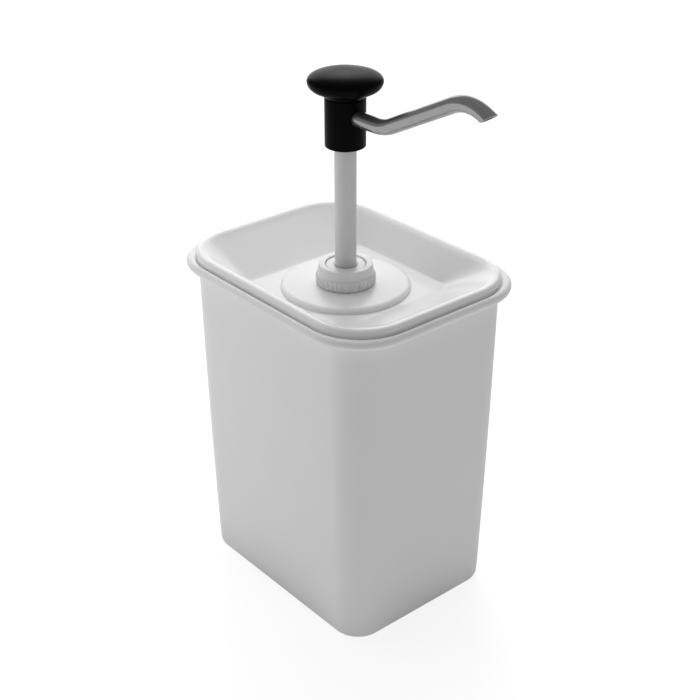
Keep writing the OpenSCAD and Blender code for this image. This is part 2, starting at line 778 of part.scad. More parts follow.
module push_knob() {
    knob_r = knob_d / 2;
    wide_z = head_top_z + knob_wide_h;
    top_z = head_top_z + knob_h;
    dome_steps = 14;
    foot_r = head_r - knob_seam_depth;
    foot_z = head_top_z + knob_seam;
    // The underside rounds in to a cone that meets the head
    under_w = (knob_r - head_r) * knob_under_w;
    under_h = knob_wide_h * knob_under_h;
    dome = [
        for (k = [1:dome_steps - 1])
            let (a = 90 * k / dome_steps)
            [knob_r * cos(a) ^ (2 / knob_fullness), wide_z + (top_z - wide_z) * sin(a)]
    ];
    profile = concat(
        [[0, head_top_z - knob_plug_l], [knob_plug_d / 2, head_top_z - knob_plug_l]],
        [[knob_plug_d / 2, head_top_z], [foot_r, head_top_z], [foot_r, foot_z]],
        [[head_r, foot_z], [head_r, foot_z + knob_seam]],
        arc(knob_r - under_w, wide_z, under_w, under_h, -90, 0, 10),
        dome,
        [[0, top_z]]
    );
    color(black)
        rotate_extrude()
            polygon(profile);
}

// A ring of the spout's tube at a point of its axis: its far side is moved on along the axis by skew
function spout_ring(at, slope, r, skew) = [
    for (s = [0:spout_sides - 1])
        let (a = 360 * s / spout_sides)
        let (side = r * cos(a))
        let (rise = r * sin(a))
        let (on = skew * rise)
        [at[0] - rise * sin(slope) + on * cos(slope), side, at[1] + rise * cos(slope) + on * sin(slope)]
];

// The rings of the spout at one radius, from its inner end to its slanted outlet
function spout_rings(r) = concat(
    [spout_ring([spout_root, spout_z], 0, r, 0)],
    [
        for (k = [0:bend_steps])
            let (a = climb * k / bend_steps)
            spout_ring([spout_run + bend_up_r * sin(a), spout_z + bend_up_r * (1 - cos(a))], a, r, 0)
    ],
    [
        for (k = [0:2 * bend_steps])
            let (a = climb - (climb + fall) * k / (2 * bend_steps))
            spout_ring(bend_down_at + bend_down_r * [-sin(a), cos(a)], a, r, 0)
    ],
    [spout_ring(outlet_at, -fall, r, tan(outlet_slant))]
);

module spout() {
    bore = spout_rings(spout_bore_r);
    last = len(bore) - 1;
    color(steel)
        loft(concat(spout_rings(spout_r), [for (k = [last:-1:0]) bore[k]]), true);
}

module spout_o_ring() {
    color(seal_grey)
        translate([spout_seal_x, 0, spout_z])
            rotate([0, 90, 0])
                cord_ring(spout_r + plug_gap, 0);
}

container();
lid();
collar_nut();
stem_guide();
stem_wiper();
barrel();
barrel_gasket();
inlet_foot();
foot_o_ring();
inlet_ball();
ball_cage();
dip_tube();
return_spring();
piston();
piston_seal();
outlet_ball();
stem();
head_o_ring();
pump_head();
push_knob();
spout();
spout_o_ring();
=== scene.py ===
# Sauce pump dispenser: smooth pieces, materials, light and camera over the CAD frame.
import json
import math

import bmesh
import bpy
from mathutils import Matrix, Vector


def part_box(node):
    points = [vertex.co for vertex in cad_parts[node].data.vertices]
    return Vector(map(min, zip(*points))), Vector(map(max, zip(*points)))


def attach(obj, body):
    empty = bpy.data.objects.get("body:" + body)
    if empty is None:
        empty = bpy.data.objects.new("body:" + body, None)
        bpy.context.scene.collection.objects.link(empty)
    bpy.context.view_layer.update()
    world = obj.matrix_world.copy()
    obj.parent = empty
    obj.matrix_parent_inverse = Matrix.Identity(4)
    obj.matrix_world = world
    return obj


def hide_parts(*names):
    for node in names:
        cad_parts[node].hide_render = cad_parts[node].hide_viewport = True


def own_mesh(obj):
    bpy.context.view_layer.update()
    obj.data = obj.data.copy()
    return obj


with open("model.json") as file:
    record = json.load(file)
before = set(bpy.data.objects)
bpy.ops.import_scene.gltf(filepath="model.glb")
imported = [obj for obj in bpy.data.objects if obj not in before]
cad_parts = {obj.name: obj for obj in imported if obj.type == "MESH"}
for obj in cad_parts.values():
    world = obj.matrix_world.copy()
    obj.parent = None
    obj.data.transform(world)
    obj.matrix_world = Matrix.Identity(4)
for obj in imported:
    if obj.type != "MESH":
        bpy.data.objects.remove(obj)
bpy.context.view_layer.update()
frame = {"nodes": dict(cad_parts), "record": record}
cad_nodes = frame["nodes"]

MM = 0.001

# Tub and lid, in millimetres as in the part's source
TUB_W, TUB_D, TUB_H = 148.0, 114.0, 198.4
TUB_LEAN, TUB_BELLY, TUB_CORNER_R = 3.4, 0.5, 20.0
TUB_WALL, TUB_FLOOR = 2.2, 2.6
BASE_ROUND_R, FLOOR_ROUND_R = 3.8, 3.0
RIM_OUT, RIM_T, RIM_CORNER_R = 8.29, 5.4, 32.0
BEAD_W, SEAT_DEPTH = 4.1, 1.9
LID_GAP, LID_CORNER_R, LID_EDGE_R = 0.3, 32.0, 2.0
CREST_RISE, CREST_W, CREST_ROUND_W, CREST_ROUND_H = 3.7, 2.2, 4.0, 1.4
DISH_DEPTH, DISH_FLOOR_W, DISH_FLOOR_D, DISH_CORNER_R = 16.0, 75.0, 84.0, 8.0
DISH_SOFT = 0.1
LID_T, SKIRT_DEPTH, SKIRT_T, SKIRT_GAP = 2.4, 8.0, 2.0, 0.4
BOSS_R, BOSS_H, BOSS_ROUND_W = 36.5, 2.7, 3.3

# Pump
NECK_BORE_R, NECK_R, NECK_H = 10.8, 12.6, 5.4
NUT_R, NUT_FLARE, NUT_SKIRT_H = 15.2, 1.1, 5.0
NUT_BORE_R, NUT_MOUTH_R, NUT_LIP_T = 12.85, 11.5, 2.0
RIBS, RIB_OUT, RIB_CUT, RIB_ROUND = 36, 0.45, 0.45, 0.7
RIB_FOOT_FADE, RIB_HEAD_FADE, RIB_OVERRUN = 0.6, 0.9, 0.5
GUIDE_HUB_R, GUIDE_HUB_H, GUIDE_CHAMFER = 10.9, 1.3, 0.8
GUIDE_PLUG_R, GUIDE_PLUG_L, GUIDE_FLANGE_R = 8.95, 8.0, 12.3
STEM_R, STEM_BORE_R, STEM_PLAY = 6.0, 3.25, 0.08
HEAD_R, HEAD_EDGE_R, HEAD_FIT = 11.0, 0.8, 0.05
HEAD_CORE_R, HEAD_SUMP = 1.0, 2.0
KNOB_R, KNOB_WIDE_H, KNOB_FULLNESS = 20.0, 8.8, 3.4
KNOB_SEAM, KNOB_SEAM_DEPTH = 0.2, 1.6
KNOB_UNDER_W, KNOB_UNDER_H = 0.7, 0.62
KNOB_PLUG_R, KNOB_PLUG_L = 5.0, 3.6
SPOUT_R, SPOUT_BORE_R, SPOUT_ROOT, SPOUT_RUN = 4.25, 3.25, 3.6, 23.7
SPOUT_RISE, BEND_UP_R, CLIMB, CLIMB_L = 17.3, 29.0, 26.7, 47.0
BEND_DOWN_R, FALL, OUTLET_L, OUTLET_SLANT = 24.4, 25.0, 0.4, 32.0
SPRING_WIRE_R, SPRING_MEAN_R, SPRING_TURNS = 0.7, 7.2, 10
SPRING_END_PITCH, SPRING_CLOSED_L, STROKE = 1.9, 27.0, 64.0
SPRING_FOOT_GAP, SPRING_HEAD_GAP = 0.03, 0.25

# Camera, in degrees and metres, and the light's strengths, where white paper in full light is 1
AZIMUTH, ELEVATION, CAMERA_ROLL = math.radians(49.83), math.radians(30.06), math.radians(-0.16)
CAMERA_AIM_Z, CAMERA_DISTANCE, CAMERA_LENS = 0.12, 0.7717, 68.07
CAMERA_SHIFT_X, CAMERA_SHIFT_Y = 0.0056, 0.0541
LAMP_AIM_Z = 0.14
ROOM_FILL, ROOM_DIM = 0.26, 0.22
FLOOR_SIZE, FLOOR_DROP, FLOOR_GLOW, FLOOR_TONE = 6.0, 0.0002, 0.82, 0.28
# Glow of the floor card for other rays: painted shadow of the tub near it, painted light farther out
CARD_PAINTED_SHADE, CARD_PAINTED_LIGHT = 0.36, 0.8
CARD_NEAR, CARD_FAR = 1.0, 1.6

# Heights that follow from these
RIM_BOTTOM = TUB_H - RIM_T
SEAT_Z = TUB_H - SEAT_DEPTH
CREST_Z = TUB_H + CREST_RISE
SLOPE_Z = CREST_Z - CREST_ROUND_H
DISH_Z = CREST_Z - DISH_DEPTH
BOSS_Z = DISH_Z + BOSS_H
NECK_Z = BOSS_Z + NECK_H
SEAT_ANGLE = math.asin(1 - 2 * SEAT_DEPTH / RIM_T)
EDGE_OFF = RIM_OUT - BEAD_W / 2 * (1 + math.cos(SEAT_ANGLE)) - LID_GAP
HEAD_LOW, HEAD_HIGH = (corner.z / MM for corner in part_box("pump_head"))
NUT_LOW, NUT_HIGH = (corner.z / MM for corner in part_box("collar_nut"))
GUIDE_LOW, GUIDE_HIGH = (corner.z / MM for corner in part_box("stem_guide"))
STEM_LOW, STEM_HIGH = (corner.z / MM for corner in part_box("stem"))
KNOB_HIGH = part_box("push_knob")[1].z / MM
SPRING_LOW, SPRING_HIGH = (corner.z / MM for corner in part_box("return_spring"))

CORNER_STEPS = 22
TURN_STEPS = 128


# Mesh helpers


def rounded_ring(w, d, r, z):
    """Points of a rounded rectangle at height z, anticlockwise from +X."""
    points = []
    for corner in range(4):
        side_x = 1 if corner in (0, 3) else -1
        side_y = 1 if corner < 2 else -1
        for k in range(CORNER_STEPS + 1):
            a = math.pi / 2 * (corner + k / CORNER_STEPS)
            x = side_x * (w / 2 - r) + r * math.cos(a)
            y = side_y * (d / 2 - r) + r * math.sin(a)
            points.append((x, y, z))
    return points


def arc(cx, cz, rx, rz, start, end, steps):
    """Points of an arc in the plane of a profile; the angles are in degrees."""
    points = []
    for k in range(steps + 1):
        a = math.radians(start + (end - start) * k / steps)
        points.append((cx + rx * math.cos(a), cz + rz * math.sin(a)))
    return points


def loft(name, rings, closed=False, sharp=35):
    """A mesh over rings of equal count, in millimetres: capped at both ends, or closed in a round."""
    count = len(rings[0])
    mesh = bpy.data.meshes.new(name)
    bm = bmesh.new()
    rows = [[bm.verts.new([c * MM for c in p]) for p in ring] for ring in rings]
    uv = bm.loops.layers.uv.new("UVMap")
    last = len(rows) if closed else len(rows) - 1
    for i in range(last):
        low, high = rows[i], rows[(i + 1) % len(rows)]
        for j in range(count):
            k = (j + 1) % count
            face = bm.faces.new((low[j], low[k], high[k], high[j]))
            corners = ((j, i), (j + 1, i), (j + 1, i + 1), (j, i + 1))
            for loop, (u, v) in zip(face.loops, corners):
                loop[uv].uv = (u / count, v / last)
    if not closed:
        bm.faces.new(rows[0][::-1])
        bm.faces.new(rows[-1])
    bmesh.ops.recalc_face_normals(bm, faces=bm.faces)
    bm.to_mesh(mesh)
    bm.free()
    return finished(name, mesh, sharp)


def finished(name, mesh, sharp):
    """An object of that mesh, smooth except at edges sharper than the angle."""
    mesh.polygons.foreach_set("use_smooth", [True] * len(mesh.polygons))
    mesh.set_sharp_from_angle(angle=math.radians(sharp))
    obj = bpy.data.objects.new(name, mesh)
    bpy.context.scene.collection.objects.link(obj)
    return obj


def turned(name, profile, steps=TURN_STEPS, sharp=35):
    """A solid turned about the Z axis from a closed profile of (radius, height), clear of the axis."""
    rings = []
    for k in range(steps):
        a = 2 * math.pi * k / steps
        rings.append([(r * math.cos(a), r * math.sin(a), z) for r, z in profile])
    return loft(name, rings, closed=True, sharp=sharp)


def rod(name, r, z0, z1):
    """A plain cutting body about the Z axis."""
    ring = [(r * math.cos(a), r * math.sin(a)) for a in
            (2 * math.pi * k / TURN_STEPS for k in range(TURN_STEPS))]
    return loft(name, [[(x, y, z) for x, y in ring] for z in (z0, z1)])


def combined(name, target, others, sharp=35):
    """The target with each (operation, body) applied in turn, as one clean mesh."""
    for operation, body in others:
        modifier = target.modifiers.new("combine", "BOOLEAN")
        modifier.operation = operation
        modifier.solver = "EXACT"
        modifier.object = body
    depsgraph = bpy.context.evaluated_depsgraph_get()
    mesh = bpy.data.meshes.new_from_object(target.evaluated_get(depsgraph))
    for body in [target] + [body for _, body in others]:
        bpy.data.objects.remove(body)
    mesh.name = name
    return finished(name, mesh, sharp)


def rounded_profile(points, radii, steps=5):
    """A closed profile with each corner rounded by its radius, 0 for a sharp one."""
    rounded = []
    for i, radius in enumerate(radii):
        at = Vector(points[i])
        before = Vector(points[i - 1]) - at
        after = Vector(points[(i + 1) % len(points)]) - at
        if radius == 0:
            rounded.append(tuple(at))
            continue
        half = before.angle(after) / 2
        reach = min(radius / math.tan(half), before.length * 0.49, after.length * 0.49)
        start = at + before.normalized() * reach
        end = at + after.normalized() * reach
        for k in range(steps + 1):
            t = k / steps
            rounded.append(tuple(start * (1 - t) ** 2 + at * 2 * t * (1 - t) + end * t ** 2))
    return rounded


# Materials


def new_material(name):
    material = bpy.data.materials.new(name)
    material.use_nodes = True
    return material, material.node_tree, material.node_tree.nodes["Principled BSDF"]


def noise(tree, coordinates, scale, detail=3.0, roughness=0.55):
    node = tree.nodes.new("ShaderNodeTexNoise")
    node.inputs["Scale"].default_value = scale
    node.inputs["Detail"].default_value = detail
    node.inputs["Roughness"].default_value = roughness
    tree.links.new(coordinates, node.inputs["Vector"])
    return node.outputs["Fac"]


def ramp(tree, factor, low, high, start=0.3, end=0.7):
    """A colour that runs from low to high over part of the factor's range."""
    node = tree.nodes.new("ShaderNodeValToRGB")
    node.color_ramp.elements[0].position = start
    node.color_ramp.elements[1].position = end
    node.color_ramp.elements[0].color = (*low, 1)
    node.color_ramp.elements[1].color = (*high, 1)
    tree.links.new(factor, node.inputs["Fac"])
    return node.outputs["Color"]


def spread(tree, factor, low, high, start=0.3, end=0.7):
    """A number that runs from low to high over part of the factor's range."""
    node = tree.nodes.new("ShaderNodeMapRange")
    node.inputs["From Min"].default_value = start
    node.inputs["From Max"].default_value = end
    node.inputs["To Min"].default_value = low
    node.inputs["To Max"].default_value = high
    tree.links.new(factor, node.inputs["Value"])
    return node.outputs["Result"]


def bump(tree, height, strength, distance, normal=None):
    node = tree.nodes.new("ShaderNodeBump")
    node.inputs["Strength"].default_value = strength
    node.inputs["Distance"].default_value = distance
    tree.links.new(height, node.inputs["Height"])
    if normal:
        tree.links.new(normal, node.inputs["Normal"])
    return node.outputs["Normal"]


def moulded(name, shade, tint, rough, grain, grain_strength, wave_strength, specular=0.5):
    """Moulded plastic: cloudy tone, uneven gloss, a fine mould grain and slow sink waves."""
    material, tree, shader = new_material(name)
    coordinates = tree.nodes.new("ShaderNodeTexCoord").outputs["Object"]
    low = [shade * (1 - tint) * c for c in (1.0, 1.0, 0.998)]
    high = [min(shade * (1 + tint), 1) * c for c in (1.0, 1.0, 1.0)]
    clouds = noise(tree, coordinates, 26.0)
    tree.links.new(ramp(tree, clouds, low, high), shader.inputs["Base Color"])
    gloss = noise(tree, coordinates, 70.0, detail=5.0)
    tree.links.new(spread(tree, gloss, rough[0], rough[1]), shader.inputs["Roughness"])
    waves = bump(tree, noise(tree, coordinates, 34.0, detail=1.0), wave_strength, 0.001)
    fine = bump(tree, noise(tree, coordinates, grain, detail=2.0), grain_strength, 0.0002, waves)
    tree.links.new(fine, shader.inputs["Normal"])
    shader.inputs["Specular IOR Level"].default_value = specular
    return material


def drawn_steel(name, shade, rough, stretch, metallic=1.0):
    """Drawn steel: fine lines along its length in tone, gloss and relief, from the piece's own mapping.
    A satin tube also scatters some light, so it is less than fully metallic."""
    material, tree, shader = new_material(name)
    uv = tree.nodes.new("ShaderNodeTexCoord").outputs["UV"]
    mapping = tree.nodes.new("ShaderNodeMapping")
    mapping.inputs["Scale"].default_value = stretch
    tree.links.new(uv, mapping.inputs["Vector"])
    lines = noise(tree, mapping.outputs["Vector"], 1.0, detail=4.0, roughness=0.7)
    low = [shade * 0.9 * c for c in (1.0, 1.0, 0.99)]
    high = [min(shade * 1.08, 1) * c for c in (1.0, 1.0, 0.995)]
    tree.links.new(ramp(tree, lines, low, high), shader.inputs["Base Color"])
    tree.links.new(spread(tree, lines, rough[0], rough[1]), shader.inputs["Roughness"])
    tree.links.new(bump(tree, lines, 0.08, 0.00005), shader.inputs["Normal"])
    shader.inputs["Metallic"].default_value = metallic
    return material


def polished_steel(name, shade, rough):
    """Ground and polished steel with faint scuffs."""
    material, tree, shader = new_material(name)
    coordinates = tree.nodes.new("ShaderNodeTexCoord").outputs["Object"]
    scuffs = noise(tree, coordinates, 900.0, detail=4.0)
    low = [shade * 0.95 * c for c in (1.0, 1.0, 0.99)]
    high = [min(shade * 1.05, 1) * c for c in (1.0, 1.0, 0.995)]
    tree.links.new(ramp(tree, scuffs, low, high), shader.inputs["Base Color"])
    tree.links.new(spread(tree, scuffs, rough[0], rough[1]), shader.inputs["Roughness"])
    shader.inputs["Metallic"].default_value = 1.0
    return material


materials = {
    "tub_plastic": moulded("tub_plastic", 0.80, 0.008, (0.36, 0.44), 1600.0, 0.06, 0.006),
    "lid_plastic": moulded("lid_plastic", 0.83, 0.008, (0.14, 0.2), 1800.0, 0.01, 0.006),
    "pump_plastic": moulded("pump_plastic", 0.82, 0.01, (0.28, 0.36), 2200.0, 0.03, 0.004),
    "stem_plastic": moulded("stem_plastic", 0.66, 0.01, (0.28, 0.36), 2200.0, 0.03, 0.004),
    "black_plastic": moulded("black_plastic", 0.002, 0.12, (0.24, 0.34), 2600.0, 0.03, 0.006, 0.04),
    "spout_steel": drawn_steel("spout_steel", 0.42, (0.16, 0.24), (90.0, 3.0, 1.0), 0.85),
    "spring_steel": drawn_steel("spring_steel", 0.55, (0.2, 0.34), (12.0, 900.0, 1.0)),
    "ball_steel": polished_steel("ball_steel", 0.72, (0.06, 0.14)),
    "seal_rubber": moulded("seal_rubber", 0.08, 0.12, (0.62, 0.75), 3000.0, 0.2, 0.01),
}


def placed(obj, node, slot, body):
    """Puts a finished piece in the place of its CAD node."""
    obj.data.materials.clear()
    obj.data.materials.append(materials[slot])
    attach(obj, body)
    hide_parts(node)
    return obj


# Tub: leaning walls, a rolled rim with a round bead outside the lid's seat


def lean(z):
    """How far the wall lies in at height z: it leans, and bulges a little at half its height."""
    share = z / RIM_BOTTOM
    return (TUB_LEAN - 4 * TUB_BELLY * share) * (1 - share)


def tub_ring(off, z):
    return rounded_ring(TUB_W + 2 * off, TUB_D + 2 * off, TUB_CORNER_R + off, z)


def rim_corner(off):
    """Corner radius of the rim and lid's edge at that distance out past the wall's top."""
    if off < EDGE_OFF:
        return LID_CORNER_R - EDGE_OFF + off
    share = (off - EDGE_OFF) / (RIM_OUT - EDGE_OFF)
    return LID_CORNER_R + share * (RIM_CORNER_R - LID_CORNER_R)


def rim_ring(off, z):
    return rounded_ring(TUB_W + 2 * off, TUB_D + 2 * off, rim_corner(off), z)


def make_container():
    base_off = -lean(0) - BASE_ROUND_R
    base_edge = arc(base_off, BASE_ROUND_R, BASE_ROUND_R, BASE_ROUND_R, -90, 0, 12)
    bead_r = BEAD_W / 2
    bead_end = 180 - math.degrees(SEAT_ANGLE)
    bead = arc(RIM_OUT - bead_r, TUB_H - RIM_T / 2, bead_r, RIM_T / 2, -90, bead_end, 36)
    fillet_r = 1.2
    fillet = arc(fillet_r, RIM_BOTTOM - fillet_r, fillet_r, fillet_r, 180, 90, 6)
    inner_r = 0.5
    seat = arc(-TUB_WALL + inner_r, SEAT_Z - inner_r, inner_r, inner_r, 90, 180, 5)
    floor_off = -TUB_WALL - lean(TUB_FLOOR + FLOOR_ROUND_R) - FLOOR_ROUND_R
    floor_z = TUB_FLOOR + FLOOR_ROUND_R
    floor_edge = arc(floor_off, floor_z, FLOOR_ROUND_R, FLOOR_ROUND_R, 0, -90, 8)
    wall_steps = 16
    wall = [RIM_BOTTOM * k / wall_steps for k in range(1, wall_steps)]
    rings = [tub_ring(off, z) for off, z in base_edge]
    rings += [tub_ring(-lean(z), z) for z in wall]
    rings += [tub_ring(off, z) for off, z in fillet]
    rings += [rim_ring(off, z) for off, z in bead]
    rings += [tub_ring(off, z) for off, z in seat]
    rings += [tub_ring(-TUB_WALL - lean(z), z) for z in reversed(wall)]
    rings += [tub_ring(off, z) for off, z in floor_edge]
    return loft("tub_shell", rings)


placed(make_container(), "container", "tub_plastic", "tub")


# Lid: an upright edge with a rounded crest, plane slopes down to the dish's floor, a boss and a neck


def dish_fall(t):
    """Fall of the dish at share t of its slope under the crest, rounded at the floor."""
    fall = DISH_DEPTH - CREST_ROUND_H
    steep = fall / (1 - DISH_SOFT / 2)
    if t > 1 - DISH_SOFT:
        return fall - steep * (1 - t) ** 2 / (2 * DISH_SOFT)
    return steep * t


def dish_shares(start):
    """Shares of the slope that have a ring, from that share to the floor."""
    plane, end = 8, 6
    shares = [start + (1 - DISH_SOFT - start) * k / plane for k in range(plane)]
    return shares + [1 - DISH_SOFT + DISH_SOFT * k / end for k in range(end + 1)]


def dish_ring(t, drop):
    top_off = EDGE_OFF - CREST_W - CREST_ROUND_W
    top_r = rim_corner(top_off)
    w = TUB_W + 2 * top_off
    d = TUB_D + 2 * top_off
    return rounded_ring(
        w + t * (DISH_FLOOR_W - w), d + t * (DISH_FLOOR_D - d),
        top_r + t * (DISH_CORNER_R - top_r), SLOPE_Z - dish_fall(t) - drop,
    )


def make_lid():
    crest_off = EDGE_OFF - CREST_W
    slope_off = crest_off - CREST_ROUND_W
    skirt_off = -TUB_WALL - SKIRT_GAP - lean(SEAT_Z - SKIRT_DEPTH)
    inner_off = skirt_off - SKIRT_T
    slope_run = TUB_D / 2 + slope_off - DISH_FLOOR_D / 2
    under_clear = 0.03
    under_start = (slope_off - inner_off) / slope_run + under_clear
    crest_steps = 12
    crest = [k / crest_steps for k in range(crest_steps + 1)]
    under = dish_shares(under_start)[::-1]
    edge = arc(EDGE_OFF - LID_EDGE_R, CREST_Z - LID_EDGE_R, LID_EDGE_R, LID_EDGE_R, 0, 90, 12)
    foot = SEAT_Z - SKIRT_DEPTH
    rings = [dish_ring(t, LID_T) for t in under]
    rings += [tub_ring(inner_off, SLOPE_Z - dish_fall(under_start) - LID_T)]
    rings += [tub_ring(inner_off, foot), tub_ring(skirt_off, foot), tub_ring(skirt_off, SEAT_Z)]
    rings += [rim_ring(EDGE_OFF, SEAT_Z)]
    rings += [rim_ring(off, z) for off, z in edge]
    rings += [rim_ring(crest_off - CREST_ROUND_W * t, CREST_Z - CREST_ROUND_H * t ** 2) for t in crest]
    rings += [dish_ring(t, 0) for t in dish_shares(0)[1:]]
    shell = loft("lid_shell", rings)

    low = DISH_Z - LID_T / 2
    shoulder_h = BOSS_H * 0.9
    shoulder = arc(BOSS_R - BOSS_ROUND_W, BOSS_Z - shoulder_h, BOSS_ROUND_W, shoulder_h, 0, 90, 12)
    foot_r = 0.6
    neck_foot = arc(NECK_R + foot_r, BOSS_Z + foot_r, foot_r, foot_r, -90, -180, 5)
    core_r = 2.0
    chamfer = 0.4
    profile = [(core_r, low), (BOSS_R, low)] + shoulder + neck_foot
    profile += [(NECK_R, NECK_Z - chamfer), (NECK_R - chamfer, NECK_Z), (core_r, NECK_Z)]
    boss = turned("boss", profile)
    hollow_r = BOSS_R - BOSS_ROUND_W - LID_T
    stub_r = NECK_R + NECK_R - NECK_BORE_R
    past = 1
    hollow_low, hollow_high = DISH_Z - LID_T - past, BOSS_Z - LID_T
    hollow = turned("hollow", [(stub_r, hollow_low), (hollow_r, hollow_low),
                               (hollow_r, hollow_high), (stub_r, hollow_high)])
    bore = rod("bore", NECK_BORE_R, hollow_low, NECK_Z + past)
    steps = [("UNION", boss), ("DIFFERENCE", hollow), ("DIFFERENCE", bore)]
    return combined("lid_dish", shell, steps)


placed(make_lid(), "lid", "lid_plastic", "lid_set")


# Collar nut: a flared skirt with rounded grip ribs, and a mouth round the guide


def make_nut():
    skirt_r = NUT_R + NUT_FLARE
    skirt_z = NUT_LOW + NUT_SKIRT_H
    guide_flange_z = NUT_HIGH - NUT_LIP_T
    outline = [
        (NUT_BORE_R, NUT_LOW), (skirt_r, NUT_LOW), (skirt_r, skirt_z),
        (NUT_R, skirt_z + NUT_FLARE), (NUT_R, NUT_HIGH), (NUT_MOUTH_R, NUT_HIGH),
        (NUT_MOUTH_R, guide_flange_z), (NUT_BORE_R, guide_flange_z),
    ]
    radii = [0.2, 0.5, 0.6, 0.8, 1.1, 0.5, 0, 0]
    profile = rounded_profile(outline, radii, 6)
    ribbed = []
    for r, z in profile:
        share = 0
        if r > NUT_R + 0.05:
            from_foot = (z - NUT_LOW) / RIB_FOOT_FADE
            from_head = (skirt_z + RIB_OVERRUN - z) / RIB_HEAD_FADE
            share = math.sqrt(max(min(from_foot, from_head, 1), 0))
        ribbed.append((r, z, share))
    per_rib = 12
    rings = []
    for k in range(RIBS * per_rib):
        a = 2 * math.pi * k / (RIBS * per_rib)
        wave = max(math.cos(RIBS * a), 0) ** RIB_ROUND
        ring = []
        for r, z, share in ribbed:
            out = r + (RIB_OUT * wave - RIB_CUT * (1 - wave)) * share
            ring.append((out * math.cos(a), out * math.sin(a), z))
        rings.append(ring)
    return loft("collar_nut_ribbed", rings, closed=True, sharp=50)


placed(make_nut(), "collar_nut", "pump_plastic", "lid_set")


# Guide: a hub with a chamfered bore round the stem


def make_guide():
    bore_r = STEM_R + STEM_PLAY
    barrel_z = GUIDE_LOW + GUIDE_PLUG_L
    flange_z = GUIDE_HIGH - GUIDE_HUB_H
    outline = [
        (bore_r, GUIDE_LOW), (GUIDE_PLUG_R, GUIDE_LOW), (GUIDE_PLUG_R, barrel_z),
        (GUIDE_FLANGE_R, barrel_z), (GUIDE_FLANGE_R, flange_z), (GUIDE_HUB_R, flange_z),
        (GUIDE_HUB_R, GUIDE_HIGH), (bore_r + GUIDE_CHAMFER, GUIDE_HIGH),
        (bore_r, GUIDE_HIGH - GUIDE_CHAMFER),
    ]
    radii = [0.3, 0.5, 0, 0.2, 0.2, 0.5, 0.5, 0.3, 0.3]
    return turned("stem_guide_bush", rounded_profile(outline, radii))


placed(make_guide(), "stem_guide", "pump_plastic", "lid_set")


# Stem: a plain hollow rod with softened ends


def make_stem():
    outline = [(STEM_BORE_R, STEM_LOW), (STEM_R, STEM_LOW), (STEM_R, STEM_HIGH), (STEM_BORE_R, STEM_HIGH)]
    return turned("stem_tube", rounded_profile(outline, [0.3, 0.4, 0.4, 0.3]), steps=96)


placed(make_stem(), "stem", "stem_plastic", "plunger")


# Head: a cylinder with sockets for stem, spout and knob


def make_head():
    spout_z = HEAD_LOW + SPOUT_RISE
    sump_z = spout_z - HEAD_SUMP
    stem_r, stem_z = STEM_R + HEAD_FIT, STEM_HIGH + HEAD_FIT
    plug_r, plug_z = KNOB_PLUG_R + HEAD_FIT, HEAD_HIGH - KNOB_PLUG_L - HEAD_FIT
    outline = [
        (STEM_BORE_R, sump_z), (STEM_BORE_R, stem_z), (stem_r, stem_z), (stem_r, HEAD_LOW),
        (HEAD_R, HEAD_LOW), (HEAD_R, HEAD_HIGH), (plug_r, HEAD_HIGH), (plug_r, plug_z),
        (HEAD_CORE_R, plug_z), (HEAD_CORE_R, sump_z),
    ]
    radii = [0, 0, 0, 0.5, HEAD_EDGE_R, 0.25, 0.2, 0, 0, 0]
    body = turned("head_body", rounded_profile(outline, radii))
    cross = rod("cross", SPOUT_R + HEAD_FIT, SPOUT_ROOT, HEAD_R + 2)
    passage = rod("passage", SPOUT_BORE_R, -1.5, SPOUT_ROOT + 1)
    for cutter in (cross, passage):
        turn = Matrix.Rotation(math.radians(90), 4, "Y")
        cutter.data.transform(Matrix.Translation((0, 0, spout_z * MM)) @ turn)
    return combined("pump_head_block", body, [("DIFFERENCE", cross), ("DIFFERENCE", passage)])


placed(make_head(), "pump_head", "black_plastic", "plunger")


# Knob: a mushroom with one smooth dome over a rounded rim, and a fine seam over the head


def make_knob():
    wide_z = HEAD_HIGH + KNOB_WIDE_H
    dome_h = KNOB_HIGH - wide_z
    foot_r = HEAD_R - KNOB_SEAM_DEPTH
    foot_z = HEAD_HIGH + KNOB_SEAM
    under_w = (KNOB_R - HEAD_R) * KNOB_UNDER_W
    under_h = KNOB_WIDE_H * KNOB_UNDER_H
    plug_z = HEAD_HIGH - KNOB_PLUG_L
    pole_r = 0.05
    profile = [(pole_r, plug_z), (KNOB_PLUG_R, plug_z), (KNOB_PLUG_R, HEAD_HIGH)]
    profile += [(foot_r, HEAD_HIGH), (foot_r, foot_z), (HEAD_R - 0.2, foot_z)]
    profile += [(HEAD_R, foot_z + KNOB_SEAM)]
    profile += arc(KNOB_R - under_w, wide_z, under_w, under_h, -90, 0, 18)
    dome_steps = 40
    for k in range(1, dome_steps):
        a = math.pi / 2 * k / dome_steps
        profile.append((KNOB_R * math.cos(a) ** (2 / KNOB_FULLNESS), wide_z + dome_h * math.sin(a)))
    profile.append((pole_r, KNOB_HIGH))
    return turned("push_knob_cap", profile)


placed(make_knob(), "push_knob", "black_plastic", "plunger")


# Spout: one bent tube with a slanted cut


